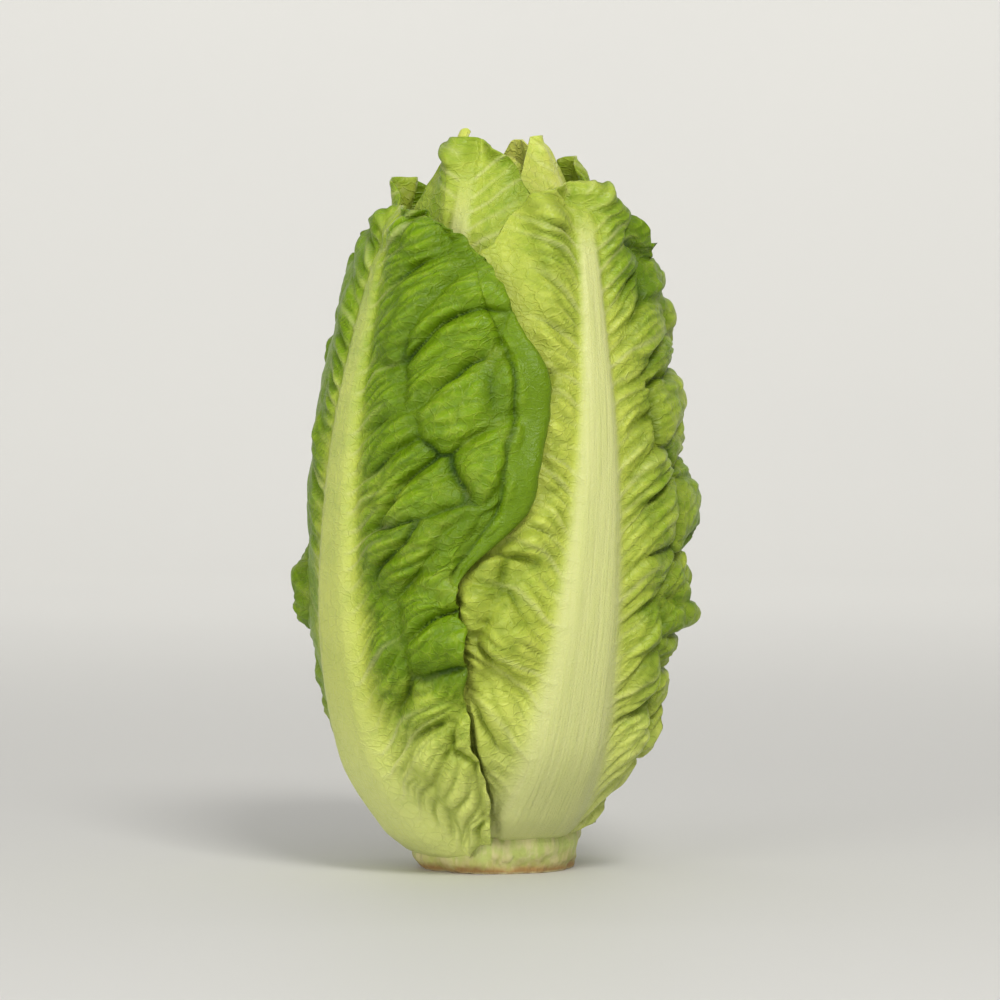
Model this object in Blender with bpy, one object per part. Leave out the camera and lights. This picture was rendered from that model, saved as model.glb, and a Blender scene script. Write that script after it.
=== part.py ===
"""Romaine lettuce heart: a flat-cut stem, fifteen leaves wrapped over each other in a spiral, and a small bud.

Metres, +Z up. The origin is the centre of the stem's cut face, which the heart stands on.
The front is -Y. An azimuth is measured from the front towards +X.
Every length below is in millimetres and every angle in degrees; MM turns a length into metres.
A pair of numbers is where an S curve starts and where it ends.
"""

import math

import bmesh
import bpy
import numpy as np

MM = 0.001

# The head's outline: the radius grows from the foot to the widest height and closes towards the apex.
HEAD_RADIUS = 36.0
FOOT_RADIUS = 17.5
WIDEST_HEIGHT = 60.0
APEX_HEIGHT = 151.0
FOOT_POWER = 2.2
CROWN_POWER = 2.3
CROWN_ROUNDING = 0.8
HIGHEST_SHARE = 0.999

# The spiral that the leaves grow in, oldest and outermost first.
LEAF_COUNT = 15
OUTER_LEAVES = 6
FIRST_AZIMUTH = -57.0
GOLDEN_ANGLE = -137.5
LAYER_STEP = 0.047
ROOM_SHARE = 0.45
CLASP_HEIGHT = 22.0
TWIST_RANGE = 7.0
TWIST_PIVOT = 0.3
FIRST_SEED = 100

# The third leaf faces the front, and its rib leans to the right as it rises.
HERO_INDEX = 2
HERO_TWIST = 18.0

# Heights of the leaf tips: they rise from the oldest leaf to the tallest one, and fall towards the middle.
OLDEST_TIP = 126.0
TIP_RISE = 15.0
TALLEST_AT = 0.6
INNERMOST_DROP = 18.0
TIP_VARIATION = 1.5

# Where the leaves join the stem: close together at the foot, further apart higher up.
FIRST_JOIN_HEIGHT = 1.8
JOIN_STEP = 1.5
JOIN_STEP_GROWTH = 0.09
JOIN_GAP = 0.35

# The stem and its cut face.
STEM_RADIUS = 14.6
STEM_HEIGHT = 41.0
STEM_TIP_RADIUS = 3.0
STEM_TAPER_POWER = 1.35
STEM_RINGS = 9
CUT_EDGE = 0.7
STEM_SIDES = 40
MERGE_DISTANCE = 0.02

# The bud of unopened leaves on the stem's tip.
BUD_START = 41.6
BUD_TOP = 127.0
BUD_RADIUS = 8.6
BUD_WAIST_POWER = 1.15
BUD_ROUNDING = 0.7
BUD_LAPS = 3
BUD_LAP_RISE = 1.1
BUD_LAP_HEIGHT = 1.1
BUD_SIDES = 26
BUD_RINGS = 16

# A leaf's section. Inner leaves are slighter. The rib is thin at the foot, and proud where nothing covers it.
BLADE_THICKNESS = 0.85
RIB_THICKNESS = 3.6
TIP_RIB_THICKNESS = 0.4
RIB_HALF_WIDTH = 13.0
TIP_RIB_HALF_WIDTH = 1.6
RIB_NARROWING = 1.2
RIB_FLANK = (0.4, 1.15)
OUTWARD_SHARE = 0.7
INNER_SLIGHTNESS = 0.5
HEEL_SHARE = 0.3
HEEL_END = (0.0, 0.07)
RIB_PROUD = 0.45
PROUD_START = (0.65, 1.0)

# Half of the angle that a leaf spans: at its clasping foot, its neck and its broad top.
FOOT_ANGLE = 52.0
NECK_ANGLE = 46.0
NECK_AT = 0.16
OLDEST_FOOT_ANGLE = 54.0
OLDEST_NECK_ANGLE = 44.0
OLDEST_NECK_AT = 0.42
BROAD_ANGLE = 61.0
OLDEST_BROAD_ANGLE = 70.0
INNER_BROADENING = 0.2
SPREAD_RANGE = (0.96, 1.03)
NECK_TO_BROAD = 0.46
OLDEST_NECK_TO_BROAD = 0.14
SHOULDER = 0.70
NOTCH_DEPTH = 0.04
NOTCH_RATE = 17.0
NOTCH_OFFSET = 2.0
NOTCH_START = (0.0, 1.0 / 3.0)

# The corners of a leaf's foot are rounded upwards.
CORNER_RISE = 5.0
CORNER_MARGIN = (0.5, 1.0)
CORNER_END = (0.0, 0.12)

# What an older leaf covers: its edge, in shares of its half angle, and its top, in shares of its height.
COVER_EDGE = (0.85, 1.15)
COVER_TOP = (0.96, 1.11)
ROOM_EDGE = (1.1, 1.5)
ROOM_TOP = (1.02, 1.17)
ROOM_START = (0.0, 0.2)
FURTHEST_REACH = 1.3

# The blade's folds and its frilled margin.
PUCKER_HEIGHT = 1.7
PUCKERS = 6.0
PUCKER_SLANT = 0.16
PUCKER_START = (4.0, 14.0)
FRILL_HEIGHT = 3.2
FRILLS = 7.0
FRILL_MARGIN = (0.68, 1.0)
FRILL_START = (0.1, 0.5)
FRILL_TOP = (0.80, 1.0)
TOP_FRILLS = 9.0
FRILL_OFFSET = 1.7
COVERED_SHARE = 0.16

# The oldest leaf's front margin is rolled smooth above its waist.
ROLL_MARGIN = (0.72, 0.84)
ROLL_START = (0.34, 0.44)
ROLL_CALM = 0.75

# The outer leaves' tips flare, the inner leaves curl in over the bud, and the lower wings press inwards.
FLARE_RANGE = (1.0, 3.0)
FLARE_START = (0.72, 1.0)
INNER_CURL = 0.42
CURLED_LEAVES = (0.3, 1.0)
CURL_START = (0.78, 1.0)
TUCK_DEPTH = 1.0
TUCK_MARGIN = (0.45, 1.0)
TUCK_START = (0.05, 0.15)
TUCK_END = (0.20, 0.45)

# How finely the leaves are divided.
OUTER_ROWS = 25
OUTER_HALF_COLUMNS = 7
INNER_ROWS = 16
INNER_HALF_COLUMNS = 5
COLUMN_CROWDING = 1.5
SHARP_ANGLE = 50.0

LEAF_COLOURS = {"outer": (0.30, 0.45, 0.06), "inner": (0.55, 0.62, 0.16)}
STEM_COLOUR = (0.72, 0.70, 0.45)
BUD_COLOUR = (0.68, 0.70, 0.26)
LEAF_ROUGHNESS = 0.45
STEM_ROUGHNESS = 0.6


def rise(x, ends):
    """0 below the first end, 1 above the second, and an S curve between."""
    x = np.clip((x - ends[0]) / (ends[1] - ends[0]), 0.0, 1.0)
    return x * x * (3.0 - 2.0 * x)


def fall(x, ends):
    """1 below the first end, 0 above the second, and an S curve between."""
    return 1.0 - rise(x, ends)


def wave(angle):
    """A sine between 0 and 1."""
    return 0.5 + 0.5 * np.sin(angle)


def head_radius(z):
    """Radius of the head's outline at height z."""
    low = np.clip(1.0 - z / WIDEST_HEIGHT, 0.0, 1.0)
    high = np.clip((z - WIDEST_HEIGHT) / (APEX_HEIGHT - WIDEST_HEIGHT), 0.0, HIGHEST_SHARE)
    crown = HEAD_RADIUS * (1.0 - high**CROWN_POWER) ** CROWN_ROUNDING
    return np.where(z < WIDEST_HEIGHT, HEAD_RADIUS - (HEAD_RADIUS - FOOT_RADIUS) * low**FOOT_POWER, crown)


def stem_radius(z):
    """Radius of the stem at height z: a cone that narrows faster near the foot."""
    return STEM_TIP_RADIUS + (STEM_RADIUS - STEM_TIP_RADIUS) * (1.0 - z / STEM_HEIGHT) ** STEM_TAPER_POWER


def leaf_facts(index):
    """Place, reach and wave of one leaf, all from its place in the spiral."""
    draw = np.random.default_rng(FIRST_SEED + index)
    inward = index / (LEAF_COUNT - 1)
    tip = OLDEST_TIP + TIP_RISE * math.sin(min(1.0, inward / TALLEST_AT) * math.pi / 2)
    tip -= INNERMOST_DROP * max(0.0, inward - TALLEST_AT) / (1.0 - TALLEST_AT)
    join_height = FIRST_JOIN_HEIGHT + (JOIN_STEP + JOIN_STEP_GROWTH * index) * index
    stoutness = 1.0 - INNER_SLIGHTNESS * inward
    half_section = 0.5 * BLADE_THICKNESS + (1.0 - OUTWARD_SHARE) * RIB_THICKNESS * HEEL_SHARE * stoutness
    return {
        "index": index,
        "azimuth": FIRST_AZIMUTH + GOLDEN_ANGLE * index,
        "twist": HERO_TWIST if index == HERO_INDEX else draw.uniform(-TWIST_RANGE, TWIST_RANGE),
        "join_height": join_height,
        "join_radius": stem_radius(join_height) + half_section + JOIN_GAP,
        "layer": 1.0 - LAYER_STEP * index,
        "tip_height": tip + draw.uniform(-TIP_VARIATION, TIP_VARIATION),
        "spread": (1.0 + INNER_BROADENING * inward) * draw.uniform(*SPREAD_RANGE),
        "foot": FOOT_ANGLE if index else OLDEST_FOOT_ANGLE,
        "neck": NECK_ANGLE if index else OLDEST_NECK_ANGLE,
        "neck_at": NECK_AT if index else OLDEST_NECK_AT,
        "broad": BROAD_ANGLE if index else OLDEST_BROAD_ANGLE,
        "neck_to_broad": NECK_TO_BROAD if index else OLDEST_NECK_TO_BROAD,
        "stoutness": stoutness,
        "flare": draw.uniform(*FLARE_RANGE) if index < OUTER_LEAVES else 0.0,
        "curl": INNER_CURL * float(rise(inward, CURLED_LEAVES)),
        "calm": 0.0 if index else ROLL_CALM,
        "phase": draw.uniform(0.0, 2.0 * math.pi, 4),
    }


def half_angle(leaf, along):
    """Half of the angle that the leaf spans round the head, from its clasping foot to its broad top."""
    neck_at = leaf["neck_at"]
    foot = leaf["foot"] + (leaf["neck"] - leaf["foot"]) * rise(along, (0.0, neck_at))
    broad = leaf["broad"] * leaf["spread"]
    return foot + (broad - foot) * rise(along, (neck_at, neck_at + leaf["neck_to_broad"]))


def leaf_place(leaf, u, v):
    """Share of the leaf's height, and azimuth, of the grid point (u, v).

    The lower part of the grid is a strip that widens upwards. Its upper part is the rounded top: a square
    pressed into a half disc, so that the outline has no corner and no pole.
    """
    top = np.clip((v - SHOULDER) / (1.0 - SHOULDER), 0.0, 1.0)
    across = u * np.sqrt(1.0 - 0.5 * top**2)
    along = np.where(v < SHOULDER, v, SHOULDER + (1.0 - SHOULDER) * top * np.sqrt(1.0 - 0.5 * u**2))
    notches = np.sin(NOTCH_RATE * v + leaf["phase"][0] + NOTCH_OFFSET * np.sign(u))
    notch = 1.0 + NOTCH_DEPTH * notches * rise(v, NOTCH_START)
    turn = leaf["twist"] * (along - TWIST_PIVOT)
    return along, leaf["azimuth"] + turn + half_angle(leaf, along) * across * notch


def mid_radius(leaf, z):
    """Radius of the leaf's middle surface at height z: it leaves the stem for its own layer of the head."""
    start = leaf["join_radius"]
    own_layer = leaf["layer"] * head_radius(z)
    left = 1.0 - np.clip((z - leaf["join_height"]) / CLASP_HEIGHT, 0.0, 1.0)
    return start + (own_layer - start) * (1.0 - left**2)


def reach_on(older, azimuth, z):
    """The point's place on an older leaf: share of its height, and of its half angle from its middle line."""
    up = np.clip((z - older["join_height"]) / (older["tip_height"] - older["join_height"]), 0.0, FURTHEST_REACH)
    away = azimuth - older["azimuth"] - older["twist"] * (up - TWIST_PIVOT)
    return up, np.abs((away + 180.0) % 360.0 - 180.0) / half_angle(older, up)


def freedom(older_leaves, azimuth, z):
    """1 where nothing lies over the point, and 0 where an older leaf holds it down."""
    free = np.ones_like(z)
    for older in older_leaves:
        up, away = reach_on(older, azimuth, z)
        free = free * (1.0 - fall(away, COVER_EDGE) * fall(up, COVER_TOP))
    return free


def room(leaf, older_leaves, azimuth, z):
    """Layers between the leaf and the nearest older leaf over it, or the head's outline where none is."""
    layers = np.full_like(z, float(leaf["index"]))
    for older in older_leaves:
        up, away = reach_on(older, azimuth, z)
        near = fall(away, ROOM_EDGE) * fall(up, ROOM_TOP)
        layers = np.minimum(layers, leaf["index"] * (2.0 - near) - older["index"])
    return layers


def rib_shape(leaf, x_mm, along):
    """Extra thickness of the rib at x_mm from its middle line: wide and stout low down, fine at the tip."""
    half_width = TIP_RIB_HALF_WIDTH + (RIB_HALF_WIDTH - TIP_RIB_HALF_WIDTH) * (1.0 - along) ** RIB_NARROWING
    height = TIP_RIB_THICKNESS + (RIB_THICKNESS - TIP_RIB_THICKNESS) * (1.0 - along)
    heel = HEEL_SHARE + (1.0 - HEEL_SHARE) * rise(along, HEEL_END)
    return height * heel * leaf["stoutness"] * fall(np.abs(x_mm) / (half_width * leaf["stoutness"]), RIB_FLANK)


def swell(leaf, u, along, x_mm, free):
    """Outward lift of the blade: puckers that fan out from the rib, and the frilled margin."""
    side = np.sign(u)
    away = np.abs(x_mm)
    pucker = wave(2.0 * math.pi * PUCKERS * along - PUCKER_SLANT * away + leaf["phase"][1] + side)
    margin = rise(np.abs(u), FRILL_MARGIN) * rise(along, FRILL_START)
    side_frill = margin * wave(2.0 * math.pi * FRILLS * along + leaf["phase"][2] + FRILL_OFFSET * side)
    top_frill = rise(along, FRILL_TOP) * wave(TOP_FRILLS * u + leaf["phase"][3])
    calm = 1.0 - leaf["calm"] * rise(u, ROLL_MARGIN) * rise(along, ROLL_START)
    hold = COVERED_SHARE + (1.0 - COVERED_SHARE) * free
    lift = PUCKER_HEIGHT * pucker * rise(away, PUCKER_START) + FRILL_HEIGHT * np.maximum(side_frill, top_frill)
    return hold * calm * lift


def tuck(u, along):
    """How far the wings of the leaf's lower part press in against what they wrap."""
    return TUCK_DEPTH * rise(np.abs(u), TUCK_MARGIN) * rise(along, TUCK_START) * fall(along, TUCK_END)


def leaf_surface(leaf, older_leaves, u, v):
    """Outer and inner surface of the leaf on the grid (u, v), in millimetres."""
    along, azimuth = leaf_place(leaf, u, v)
    corner = CORNER_RISE * rise(np.abs(u), CORNER_MARGIN) * fall(along, CORNER_END)
    z = leaf["join_height"] + (leaf["tip_height"] - leaf["join_height"]) * along + corner
    radius = mid_radius(leaf, z)
    middle_azimuth = leaf["azimuth"] + leaf["twist"] * (along - TWIST_PIVOT)
    x_mm = np.radians(azimuth - middle_azimuth) * radius
    free = freedom(older_leaves, azimuth, z)
    spare = np.maximum(room(leaf, older_leaves, azimuth, z) - 1.0, 0.0) * rise(along, ROOM_START)
    radius = radius + ROOM_SHARE * LAYER_STEP * head_radius(z) * spare - tuck(u, along)
    radius = radius + swell(leaf, u, along, x_mm, free) + leaf["flare"] * free * rise(along, FLARE_START)
    radius = radius * (1.0 - leaf["curl"] * rise(along, CURL_START))
    angle = np.radians(azimuth)
    middle = np.stack([radius * np.sin(angle), -radius * np.cos(angle), z], axis=-1)
    normal = np.cross(np.gradient(middle, axis=1), np.gradient(middle, axis=0))
    normal /= np.linalg.norm(normal, axis=-1, keepdims=True)
    rib = rib_shape(leaf, x_mm, along)
    outward = 0.5 * BLADE_THICKNESS + OUTWARD_SHARE * rib * (1.0 + RIB_PROUD * rise(free, PROUD_START))
    inward = 0.5 * BLADE_THICKNESS + (1.0 - OUTWARD_SHARE) * rib
    return middle + normal * outward[..., None], middle - normal * inward[..., None]


def grid_triangles(rows, columns, flip):
    """Triangles of a grid, with the same diagonals whichever way they face."""
    found = []
    for i in range(rows - 1):
        for j in range(columns - 1):
            a, b = i * columns + j, i * columns + j + 1
            c, d = b + columns, a + columns
            pair = [(a, b, c), (a, c, d)] if (i + j) % 2 else [(a, b, d), (b, c, d)]
            found += [tri[::-1] for tri in pair] if flip else pair
    return found


def rim_loop(rows, columns):
    """Indices round the edge of a grid, once."""
    bottom = list(range(columns))
    right = [i * columns + columns - 1 for i in range(1, rows)]
    top = [(rows - 1) * columns + j for j in range(columns - 2, -1, -1)]
    left = [i * columns for i in range(rows - 2, 0, -1)]
    return bottom + right + top + left


def finished_mesh(name, mesh):
    """A bmesh with its faces turned outwards, as mesh data."""
    bmesh.ops.recalc_face_normals(mesh, faces=mesh.faces)
    data = bpy.data.meshes.new(name)
    mesh.to_mesh(data)
    mesh.free()
    return data


def closed_sheet(name, outer, inner):
    """One closed body between two surfaces on the same grid."""
    rows, columns = outer.shape[:2]
    count = rows * columns
    mesh = bmesh.new()
    points = np.concatenate([outer.reshape(-1, 3), inner.reshape(-1, 3)]) * MM
    verts = [mesh.verts.new(point) for point in points]
    faces = grid_triangles(rows, columns, False)
    faces += [tuple(k + count for k in tri) for tri in grid_triangles(rows, columns, True)]
    loop = rim_loop(rows, columns)
    for a, b in zip(loop, loop[1:] + loop[:1]):
        faces += [(b, a, a + count), (b, a + count, b + count)]
    for face in faces:
        mesh.faces.new([verts[k] for k in face])
    return finished_mesh(name, mesh)


def material(name, colour, roughness):
    """A plain finish in the piece's own colour."""
    made = bpy.data.materials.new(name)
    made.use_nodes = True
    shader = made.node_tree.nodes["Principled BSDF"]
    shader.inputs["Base Color"].default_value = (*colour, 1.0)
    shader.inputs["Roughness"].default_value = roughness
    shader.inputs["Metallic"].default_value = 0.0
    return made


def add_object(name, data, finish):
    """Put a mesh in the scene, shaded smooth."""
    data.materials.append(finish)
    data.shade_smooth()
    data.set_sharp_from_angle(angle=math.radians(SHARP_ANGLE))
    piece = bpy.data.objects.new(name, data)
    bpy.context.scene.collection.objects.link(piece)
    return piece


def build_leaf(leaf, older_leaves, finish):
    """One leaf: the outer ones have more faces."""
    outer_one = leaf["index"] < OUTER_LEAVES
    rows = OUTER_ROWS if outer_one else INNER_ROWS
    half_columns = OUTER_HALF_COLUMNS if outer_one else INNER_HALF_COLUMNS
    steps = np.linspace(0.0, 1.0, half_columns + 1) ** COLUMN_CROWDING
    u, v = np.meshgrid(np.concatenate([-steps[:0:-1], steps]), np.linspace(0.0, 1.0, rows))
    outer, inner = leaf_surface(leaf, older_leaves, u, v)
    name = f"leaf_{leaf['index'] + 1:02d}"
    return add_object(name, closed_sheet(name, outer, inner), finish)


def build_stem(finish):
    """The stem inside the head: a cone with a flat cut foot, turned round Z."""
    heights = np.linspace(CUT_EDGE, STEM_HEIGHT - CUT_EDGE, STEM_RINGS)
    profile = [(0.0, 0.0), (stem_radius(0.0) - CUT_EDGE, 0.0)]
    profile += [(stem_radius(z), z) for z in heights]
    profile += [(STEM_TIP_RADIUS - CUT_EDGE, STEM_HEIGHT), (0.0, STEM_HEIGHT)]
    mesh = bmesh.new()
    verts = [mesh.verts.new((radius * MM, 0.0, height * MM)) for radius, height in profile]
    profile_geometry = verts + [mesh.edges.new(pair) for pair in zip(verts, verts[1:])]
    turn = {"axis": (0, 0, 1), "cent": (0, 0, 0), "angle": 2 * math.pi, "steps": STEM_SIDES, "use_merge": True}
    bmesh.ops.spin(mesh, geom=profile_geometry, **turn)
    bmesh.ops.remove_doubles(mesh, verts=mesh.verts, dist=MERGE_DISTANCE * MM)
    return add_object("stem", finished_mesh("stem", mesh), finish)


def bud_point(share, angle):
    """A point on the bud: a spindle whose surface steps outwards along spiral laps."""
    width = BUD_RADIUS * math.sin(math.pi * share**BUD_WAIST_POWER) ** BUD_ROUNDING
    lap = (BUD_LAPS * angle / (2 * math.pi) + BUD_LAP_RISE * share) % 1.0
    radius = width * (1.0 - BUD_LAP_HEIGHT / BUD_RADIUS * lap)
    height = BUD_START + (BUD_TOP - BUD_START) * share
    return radius * math.sin(angle) * MM, -radius * math.cos(angle) * MM, height * MM


def build_bud(finish):
    """The unopened leaves: rings of points up the spindle, closed to a point at both ends."""
    mesh = bmesh.new()
    angles = [2 * math.pi * j / BUD_SIDES for j in range(BUD_SIDES)]
    shares = [i / BUD_RINGS for i in range(1, BUD_RINGS)]
    rings = [[mesh.verts.new(bud_point(share, angle)) for angle in angles] for share in shares]
    foot = mesh.verts.new((0.0, 0.0, BUD_START * MM))
    tip = mesh.verts.new((0.0, 0.0, BUD_TOP * MM))
    for j in range(BUD_SIDES):
        k = (j + 1) % BUD_SIDES
        mesh.faces.new((foot, rings[0][j], rings[0][k]))
        mesh.faces.new((tip, rings[-1][k], rings[-1][j]))
        for below, above in zip(rings, rings[1:]):
            mesh.faces.new((below[j], above[j], above[k], below[k]))
    bmesh.ops.triangulate(mesh, faces=mesh.faces)
    return add_object("bud", finished_mesh("bud", mesh), finish)


def main():
    for old in list(bpy.data.objects):
        bpy.data.objects.remove(old)
    outer_finish = material("outer_leaf", LEAF_COLOURS["outer"], LEAF_ROUGHNESS)
    inner_finish = material("inner_leaf", LEAF_COLOURS["inner"], LEAF_ROUGHNESS)
    build_stem(material("stem_flesh", STEM_COLOUR, STEM_ROUGHNESS))
    build_bud(material("bud_leaf", BUD_COLOUR, LEAF_ROUGHNESS))
    leaves = [leaf_facts(index) for index in range(LEAF_COUNT)]
    for leaf in leaves:
        older_leaves = leaves[: leaf["index"]]
        build_leaf(leaf, older_leaves, outer_finish if leaf["index"] < OUTER_LEAVES else inner_finish)


main()
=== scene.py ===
# Romaine lettuce heart: fine leaves, bud and stem with their finishes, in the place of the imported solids.
# Shapes are worked out in millimetres and degrees, +Z up, with the front at -Y. mm turns them into metres.
# An azimuth runs from the front towards +X. A pair of numbers is the two ends of an S curve or of a range.
import math

import bpy
import numpy as np
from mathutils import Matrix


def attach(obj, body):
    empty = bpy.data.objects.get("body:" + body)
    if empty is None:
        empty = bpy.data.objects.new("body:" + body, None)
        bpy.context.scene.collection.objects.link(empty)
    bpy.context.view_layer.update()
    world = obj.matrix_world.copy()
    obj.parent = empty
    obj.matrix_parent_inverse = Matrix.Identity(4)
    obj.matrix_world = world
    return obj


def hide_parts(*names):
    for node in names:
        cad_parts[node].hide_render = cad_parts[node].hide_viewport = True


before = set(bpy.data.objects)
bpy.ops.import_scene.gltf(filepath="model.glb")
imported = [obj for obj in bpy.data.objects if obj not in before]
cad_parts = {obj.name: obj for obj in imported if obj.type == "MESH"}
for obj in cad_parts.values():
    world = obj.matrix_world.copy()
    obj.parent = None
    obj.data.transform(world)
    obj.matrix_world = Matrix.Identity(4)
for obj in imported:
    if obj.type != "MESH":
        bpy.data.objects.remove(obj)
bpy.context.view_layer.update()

mm = 0.001
print("frame loaded:", len(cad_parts), "nodes")


def rise(x, ends):  # 0 below the first end, 1 above the second, and 3t² - 2t³ of the share t between
    t = np.clip((x - ends[0]) / (ends[1] - ends[0]), 0.0, 1.0)
    return t * t * (3.0 - 2.0 * t)


def fall(x, ends):  # 1 below the first end, 0 above the second
    return 1.0 - rise(x, ends)


def between(ends, share):  # straight from the first end at share 0 to the second at share 1
    return ends[0] + (ends[1] - ends[0]) * share


def wave(angle):  # a sine between 0 and 1
    return 0.5 + 0.5 * np.sin(angle)


def bell(x, width):  # 1 at 0, less on both sides by e to the minus square of x in widths
    return np.exp(-((x / width) ** 2))


# The noises. Each use adds its own number to the seed of its leaf.
noises = {
    "mixers": (374761393, 668265263, 974634777, 1274126177), "bits": 0xFFFFFFFF,
    "scatter": 0.8, "farthest": 9.0, "upSeed": 57, "ownSeed": 131,
}


def hashed(i, j, seed):  # a number from 0 to 1 for each lattice point, by mixing the bits of its place
    first, second, third, last = noises["mixers"]
    n = (i.astype(np.int64) * first + j.astype(np.int64) * second + seed * third) & noises["bits"]
    n = ((n ^ (n >> 13)) * last) & noises["bits"]
    return (n ^ (n >> 16)) / float(noises["bits"])


def drift(x, y, seed, cell=(1.0, 1.0)):  # smooth noise from -1 to 1: lattice numbers joined by S curves
    x, y = x / cell[0], y / cell[1]
    i, j = np.floor(x), np.floor(y)
    across, up = rise(x - i, (0.0, 1.0)), rise(y - j, (0.0, 1.0))
    low = hashed(i, j, seed) * (1.0 - across) + hashed(i + 1, j, seed) * across
    high = hashed(i, j + 1, seed) * (1.0 - across) + hashed(i + 1, j + 1, seed) * across
    return 2.0 * (low + (high - low) * up) - 1.0


def pockets(x, y, seed):
    # Cells round points scattered one to a lattice square: how much farther the second nearest point is than
    # the nearest, which is 0 where two cells meet, and a number for each cell.
    i, j = np.floor(x), np.floor(y)
    nearest, own = np.full_like(x, noises["farthest"]), np.zeros_like(x)
    second = nearest.copy()
    for di in (-1, 0, 1):
        for dj in (-1, 0, 1):
            offX = hashed(i + di, j + dj, seed) - 0.5
            offY = hashed(i + di, j + dj, seed + noises["upSeed"]) - 0.5
            pointX = i + di + 0.5 + noises["scatter"] * offX
            pointY = j + dj + 0.5 + noises["scatter"] * offY
            gap = np.hypot(pointX - x, pointY - y)
            nearer = gap < nearest
            second = np.where(nearer, nearest, np.minimum(second, gap))
            own = np.where(nearer, hashed(i + di, j + dj, seed + noises["ownSeed"]), own)
            nearest = np.where(nearer, gap, nearest)
    return second - nearest, own


# The head's outline, the same as the solids'.
head = {
    "radius": 36.0, "footRadius": 17.5, "widestHeight": 60.0, "apexHeight": 151.0,
    "footPower": 2.2, "crownPower": 2.3, "crownRounding": 0.8, "highestShare": 0.999,
}


def headRadius(z):
    # A power of the share left to the widest height, and above it a rounded power of the share to the top.
    low = np.clip(1.0 - z / head["widestHeight"], 0.0, 1.0)
    crownShare = (z - head["widestHeight"]) / (head["apexHeight"] - head["widestHeight"])
    high = np.clip(crownShare, 0.0, head["highestShare"])
    crown = head["radius"] * (1.0 - high ** head["crownPower"]) ** head["crownRounding"]
    foot = head["radius"] - (head["radius"] - head["footRadius"]) * low ** head["footPower"]
    return np.where(z < head["widestHeight"], foot, crown)


stem = {
    "radius": 14.6, "height": 41.0, "tipRadius": 3.0, "taperPower": 1.35, "edge": 0.7,
    "rings": 90, "faceRings": 26, "bevelRings": 5, "sides": 240, "faceStart": 0.03, "capShares": (0.7, 0.35),
    "stumpRadius": 14.3, "stumpStart": (0.3, 1.5), "stumpEnd": (4.0, 15.0), "roughEnd": (24.0, 36.0),
    "cushion": 2.0, "cushionReach": (-6.0, 0.5), "cushionStart": (-1.0, 2.5), "cushionSide": (0.75, 1.15),
    "scarHeight": 0.4, "scarSpacing": 4.2, "scarTilt": 2.4, "scarWaves": 3.0, "scarStart": (0.5, 2.5),
    "wobble": 0.7, "wobbleCount": 3.0, "wobbleRise": 0.1, "fibre": 0.35, "fibreCount": 8.0, "fibreRise": 0.12,
    "faceEdge": (0.05, 0.55),
}


def stemRadius(z):  # a cone that narrows faster near the foot
    share = np.clip(1.0 - z / stem["height"], 0.0, 1.0)
    return stem["tipRadius"] + (stem["radius"] - stem["tipRadius"]) * share ** stem["taperPower"]


# The spiral that the leaves grow in, oldest and outermost first, the same as the solids'.
spiral = {
    "leaves": 15, "outerLeaves": 6, "firstSeed": 100, "firstAzimuth": -57.0, "goldenAngle": -137.5,
    "layerStep": 0.047, "roomShare": 0.45, "roomStart": (0.0, 0.2), "claspHeight": 22.0,
    "twistRange": 7.0, "twistPivot": 0.3, "heroIndex": 2, "heroTwist": 18.0,
    "oldestTip": 126.0, "tipRise": 15.0, "tallestAt": 0.6, "innermostDrop": 18.0, "tipVariation": 1.5,
    "firstJoin": 1.8, "joinStep": 1.5, "joinGrowth": 0.09, "joinGap": 0.35, "pastTip": 1.3,
    "coverEdge": (0.85, 1.15), "coverTop": (0.96, 1.11), "roomEdge": (1.1, 1.5), "roomTop": (1.02, 1.17),
}

# A leaf's section, its half angles round the head and its large folds, the same as the solids'.
form = {
    "blade": 0.85, "rib": 3.6, "tipRib": 0.4, "ribHalfWidth": 13.0, "tipRibHalfWidth": 1.6,
    "ribNarrowing": 1.2, "ribFlank": (0.4, 1.15), "outwardShare": 0.7, "innerSlightness": 0.5,
    "heelShare": 0.3, "heelEnd": (0.0, 0.07), "ribProud": 0.45, "proudStart": (0.65, 1.0),
    "foot": 52.0, "neck": 46.0, "neckAt": 0.16, "neckToBroad": 0.46, "broad": 61.0,
    "innerBroadening": 0.2, "spreadRange": (0.96, 1.03), "shoulder": 0.70,
    "notchDepth": 0.04, "notchRate": 17.0, "notchOffset": 2.0, "notchStart": (0.0, 1.0 / 3.0),
    "cornerRise": 5.0, "cornerMargin": (0.5, 1.0), "cornerEnd": (0.0, 0.12),
    "puckerHeight": 1.7, "puckers": 6.0, "puckerSlant": 0.16, "puckerStart": (4.0, 14.0),
    "frillHeight": 3.2, "frills": 7.0, "frillMargin": (0.68, 1.0), "frillStart": (0.1, 0.5),
    "frillTop": (0.80, 1.0), "topFrills": 9.0, "frillOffset": 1.7, "coveredShare": 0.16,
    "rollMargin": (0.72, 0.84), "rollStart": (0.34, 0.44), "rollCalm": 0.75,
    "flareRange": (1.0, 3.0), "flareStart": (0.72, 1.0),
    "innerCurl": 0.42, "curledLeaves": (0.3, 1.0), "curlStart": (0.78, 1.0),
    "tuckDepth": 1.0, "tuckMargin": (0.45, 1.0), "tuckStart": (0.05, 0.15), "tuckEnd": (0.20, 0.45),
}
oldestForm = {"foot": 54.0, "neck": 44.0, "neckAt": 0.42, "neckToBroad": 0.14, "broad": 70.0}


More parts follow.
